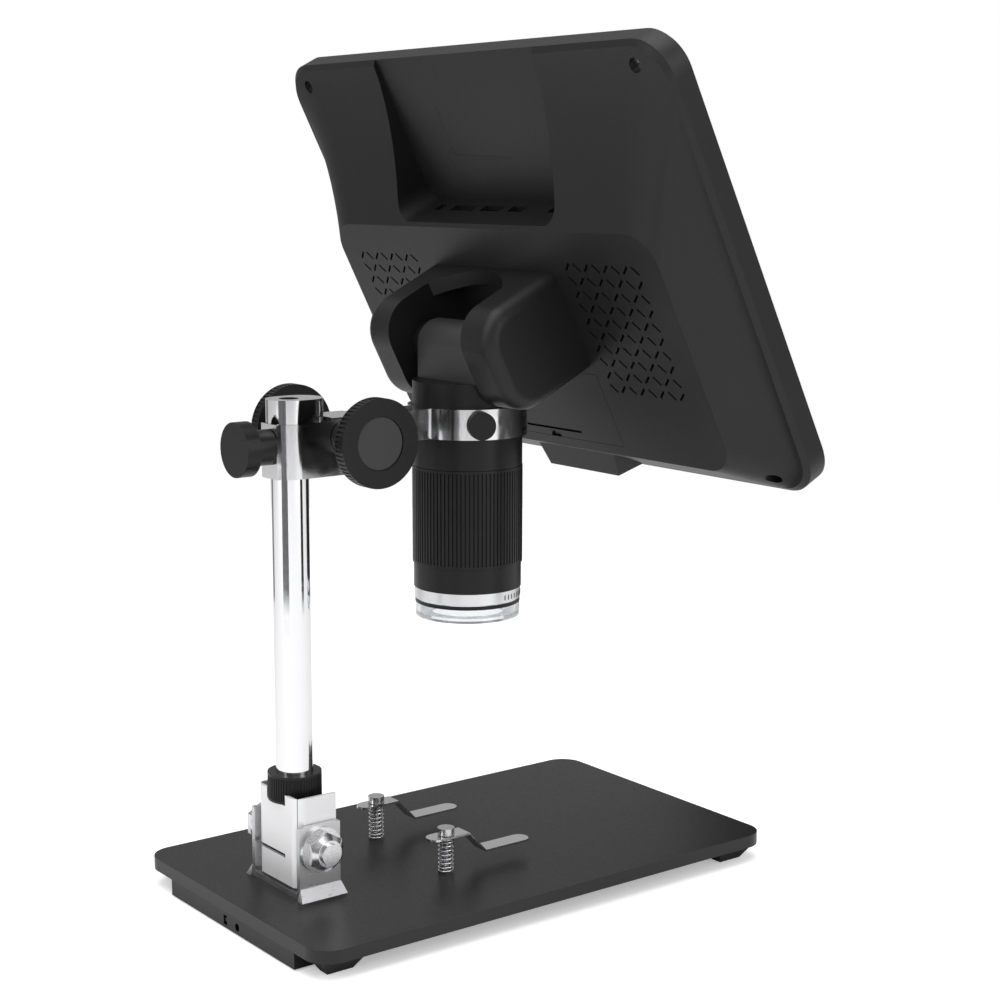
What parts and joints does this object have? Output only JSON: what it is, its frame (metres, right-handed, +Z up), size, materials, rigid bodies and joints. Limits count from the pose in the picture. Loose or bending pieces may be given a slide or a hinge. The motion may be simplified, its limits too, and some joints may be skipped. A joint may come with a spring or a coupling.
{
  "type": "lcd digital microscope",
  "caption": "Stand microscope with a tilting display on its barrel, a geared focus carriage on a chrome column, a flat base plate and sprung stage clips.",
  "frame": {"origin": "on the surface under the feet, below the middle of the base plate", "axes": "+Z up along the column, the display faces -Y, the column stands at +Y, X across the display"},
  "size_m": [0.2186, 0.2, 0.3017],
  "materials": {
    "plate_paint": "satin",
    "foot_rubber": "matte",
    "black_plastic": "matte",
    "shell_plastic": "matte",
    "grey_plastic": "satin",
    "green_board": "satin",
    "brushed": "brushed",
    "steel": "satin",
    "chrome_metal": "polished",
    "light_metal": "satin",
    "clear_cover": "clear",
    "lens_glass": "clear",
    "panel_black": "gloss",
    "cell_wrap": "gloss",
    "button_plastic": "satin"
  },
  "bodies": {
    "base": {"base_plate": "plate_paint", "corner_feet": "foot_rubber", "control_box": "black_plastic", "control_board": "green_board", "dc_jack": "black_plastic", "pivot_cradle": "brushed", "cradle_screws": "steel", "pivot_bolt": "steel", "pivot_nut": "steel", "pivot_washers": "steel", "clip_screws": "steel"},
    "switch": {"switch_slider": "black_plastic"},
    "column": {"pivot_bracket": "light_metal", "column_socket": "black_plastic", "column_rod": "chrome_metal", "column_collar": "black_plastic", "column_cap": "chrome_metal"},
    "carriage": {"carriage_arm": "chrome_metal"},
    "idler": {"idler_gear": "steel"},
    "focus_drive": {"focus_shaft": "steel", "focus_knob_left": "black_plastic", "focus_knob_right": "black_plastic"},
    "lock": {"lock_knob": "black_plastic"},
    "ring_clamp": {"ring_screw": "black_plastic"},
    "head": {"barrel_housing": "black_plastic", "lens_tube": "black_plastic", "lenses": "lens_glass", "sensor_board": "green_board", "lower_ring": "black_plastic", "nose_band": "light_metal", "nose_window": "clear_cover", "led_ring": "green_board", "neck": "grey_plastic"},
    "grip": {"focus_grip": "black_plastic"},
    "display": {"rear_shell": "shell_plastic", "front_bezel": "shell_plastic", "cover_glass": "clear_cover", "lcd_panel": "panel_black", "shell_screws": "steel", "button_board": "green_board", "battery_cover": "shell_plastic", "battery": "cell_wrap", "main_board": "green_board", "port_connectors": "steel", "speakers": "black_plastic", "hinge_yoke": "shell_plastic", "hinge_pin": "steel", "hinge_discs": "black_plastic"},
    "button_body_1": {"button_1": "button_plastic"},
    "button_body_2": {"button_2": "button_plastic"},
    "button_body_3": {"button_3": "button_plastic"},
    "button_body_4": {"button_4": "button_plastic"},
    "button_body_5": {"button_5": "button_plastic"},
    "clip_post_left": {"clip_bush_left": "steel", "clip_spring_left": "steel"},
    "clip_arm_left": {"stage_clip_left": "steel"},
    "clip_post_right": {"clip_bush_right": "steel", "clip_spring_right": "steel"},
    "clip_arm_right": {"stage_clip_right": "steel"}
  },
  "joints": [
    {"name": "switch_slide", "type": "slide", "parent": "base", "child": "switch", "axis": [0, 0, 1], "range_m": [-0.0009, 0.0009]},
    {"name": "column_tilt", "type": "hinge", "parent": "base", "child": "column", "pos_m": [0, 0.072, 0.0278], "axis": [1, 0, 0], "range_deg": [-6, 6]},
    {"name": "carriage_slide", "type": "slide", "parent": "column", "child": "carriage", "axis": [0, 0, 1], "range_m": [-0.068, 0]},
    {"name": "idler_turn", "type": "hinge", "parent": "carriage", "child": "idler", "pos_m": [0, 0.0623, 0.1685], "axis": [1, 0, 0], "range_deg": [-5, 1005]},
    {"name": "focus_turn", "type": "hinge", "parent": "carriage", "child": "focus_drive", "pos_m": [0, 0.0545, 0.1685], "axis": [1, 0, 0], "range_deg": [-1005, 5]},
    {"name": "lock_turn", "type": "hinge", "parent": "carriage", "child": "lock", "pos_m": [0, 0.085, 0.1663], "axis": [0, 1, 0], "range_deg": [-360, 0]},
    {"name": "ring_screw_turn", "type": "hinge", "parent": "carriage", "child": "ring_clamp", "pos_m": [0, -0.003, 0.17], "axis": [-0.91, 0.4147, 0], "range_deg": [-360, 0]},
    {"name": "head_turn", "type": "hinge", "parent": "carriage", "child": "head", "pos_m": [0, -0.003, 0.16], "axis": [0, 0, 1], "range_deg": [-40, 40]},
    {"name": "grip_turn", "type": "hinge", "parent": "head", "child": "grip", "pos_m": [0, -0.003, 0.13], "axis": [0, 0, 1], "range_deg": [-135, 135]},
    {"name": "display_tilt", "type": "hinge", "parent": "head", "child": "display", "pos_m": [0, -0.003, 0.1956], "axis": [1, 0, 0], "range_deg": [-35, 15]},
    {"name": "button_press_1", "type": "slide", "parent": "display", "child": "button_body_1", "axis": [0, 0.891, -0.454], "range_m": [0, 0.0005], "stiffness_N_per_m": 800},
    {"name": "button_press_2", "type": "slide", "parent": "display", "child": "button_body_2", "axis": [0, 0.891, -0.454], "range_m": [0, 0.0005], "stiffness_N_per_m": 800},
    {"name": "button_press_3", "type": "slide", "parent": "display", "child": "button_body_3", "axis": [0, 0.891, -0.454], "range_m": [0, 0.0005], "stiffness_N_per_m": 800},
    {"name": "button_press_4", "type": "slide", "parent": "display", "child": "button_body_4", "axis": [0, 0.891, -0.454], "range_m": [0, 0.0005], "stiffness_N_per_m": 800},
    {"name": "button_press_5", "type": "slide", "parent": "display", "child": "button_body_5", "axis": [0, 0.891, -0.454], "range_m": [0, 0.0005], "stiffness_N_per_m": 800},
    {"name": "clip_press_left", "type": "slide", "parent": "base", "child": "clip_post_left", "axis": [0, 0, 1], "range_m": [-0.004, 0], "stiffness_N_per_m": 400, "springref_m": 0.002, "deforming": ["clip_spring_left"]},
    {"name": "clip_swivel_left", "type": "hinge", "parent": "clip_post_left", "child": "clip_arm_left", "pos_m": [-0.0223, 0.0231, 0.0245], "axis": [0, 0, 1], "range_deg": [-60, 60]},
    {"name": "clip_press_right", "type": "slide", "parent": "base", "child": "clip_post_right", "axis": [0, 0, 1], "range_m": [-0.004, 0], "stiffness_N_per_m": 400, "springref_m": 0.002, "deforming": ["clip_spring_right"]},
    {"name": "clip_swivel_right", "type": "hinge", "parent": "clip_post_right", "child": "clip_arm_right", "pos_m": [0.0223, 0.0231, 0.0245], "axis": [0, 0, 1], "range_deg": [-60, 60]}
  ],
  "couplings": [
    {"joint": "idler_turn", "follows": "carriage_slide", "rad_per_m": -256.41},
    {"joint": "focus_turn", "follows": "carriage_slide", "rad_per_m": 256.41}
  ]
}
